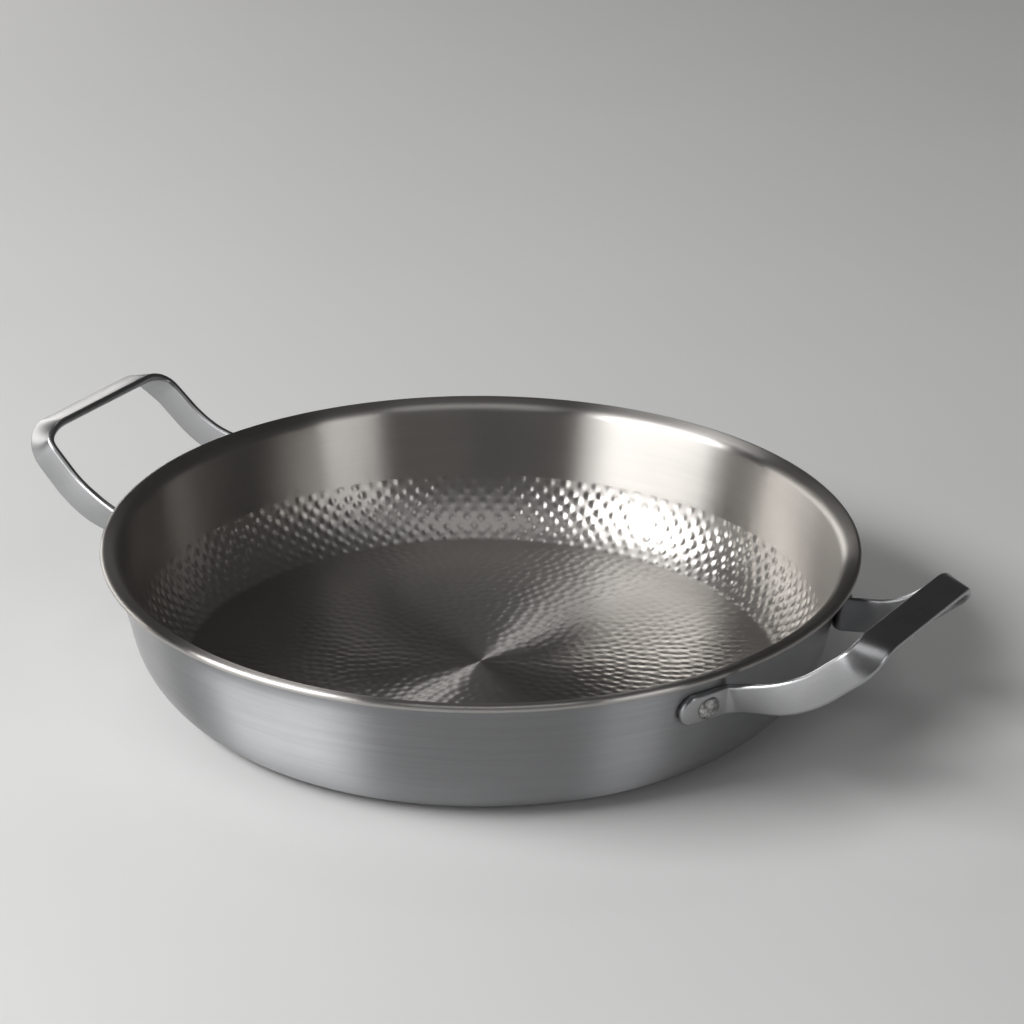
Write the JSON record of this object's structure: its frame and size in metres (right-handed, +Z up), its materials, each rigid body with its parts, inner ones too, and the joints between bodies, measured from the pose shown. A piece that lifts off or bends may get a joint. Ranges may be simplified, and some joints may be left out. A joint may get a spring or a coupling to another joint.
{
  "type": "saute pan",
  "caption": "Round shallow clad saute pan with a hammered titanium cooking surface, a smooth flared lip, and a raised strap loop handle riveted to the wall at each side.",
  "frame": {"origin": "middle of the base, on the surface that the pan stands on", "axes": "+X through the right handle, +Y to the rear, +Z up"},
  "size_m": [0.3738, 0.284, 0.0719],
  "materials": {
    "titanium": "bare titanium, hammered on the floor and lower wall, circular brushed above and on the lip",
    "core_aluminium": "mill, hidden inside the cladding",
    "outer_steel": "satin, brushed around the pan",
    "handle_steel": "satin, with softened edges",
    "rivet_steel": "peened, uneven dome"
  },
  "bodies": {
    "root": {"titanium_cooking_layer": "titanium", "aluminium_core": "core_aluminium", "steel_outer_shell": "outer_steel", "right_handle": "handle_steel", "left_handle": "handle_steel", "right_front_rivet": "rivet_steel", "right_rear_rivet": "rivet_steel", "left_front_rivet": "rivet_steel", "left_rear_rivet": "rivet_steel"}
  },
  "joints": []
}
